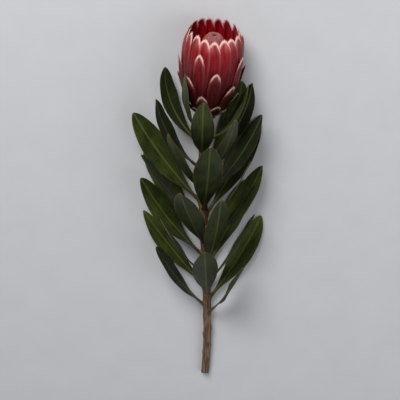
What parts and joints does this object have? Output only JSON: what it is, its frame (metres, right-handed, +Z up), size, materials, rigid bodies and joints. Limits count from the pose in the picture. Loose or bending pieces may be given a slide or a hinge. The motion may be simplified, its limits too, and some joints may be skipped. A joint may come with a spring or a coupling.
{
  "type": "protea flower",
  "caption": "Cut protea flower lying down: a closed cup of red, pale-edged bracts round a silky flower cone, on a woody stem with dense leathery leaves.",
  "frame": {"origin": "bottom centre of the whole flower as it lies on a surface", "axes": "+Y along the stem from the cut end to the bloom, +Z up from the surface, +X to the side"},
  "size_m": [0.1298, 0.4242, 0.084],
  "materials": {
    "bract": "satin",
    "floret": "matte",
    "leaf": "satin",
    "bark": "matte"
  },
  "bodies": {
    "root": {"stem": "bark", "bracts": "bract", "florets": "floret", "leaf_01": "leaf", "leaf_02": "leaf", "leaf_03": "leaf", "leaf_04": "leaf", "leaf_05": "leaf", "leaf_06": "leaf", "leaf_07": "leaf", "leaf_08": "leaf", "leaf_09": "leaf", "leaf_10": "leaf", "leaf_11": "leaf", "leaf_12": "leaf", "leaf_13": "leaf", "leaf_14": "leaf", "leaf_15": "leaf", "leaf_16": "leaf", "leaf_17": "leaf", "leaf_18": "leaf", "leaf_19": "leaf", "leaf_20": "leaf", "leaf_21": "leaf", "leaf_22": "leaf", "leaf_23": "leaf", "leaf_24": "leaf", "leaf_25": "leaf", "leaf_26": "leaf", "leaf_27": "leaf", "leaf_28": "leaf"}
  },
  "joints": []
}
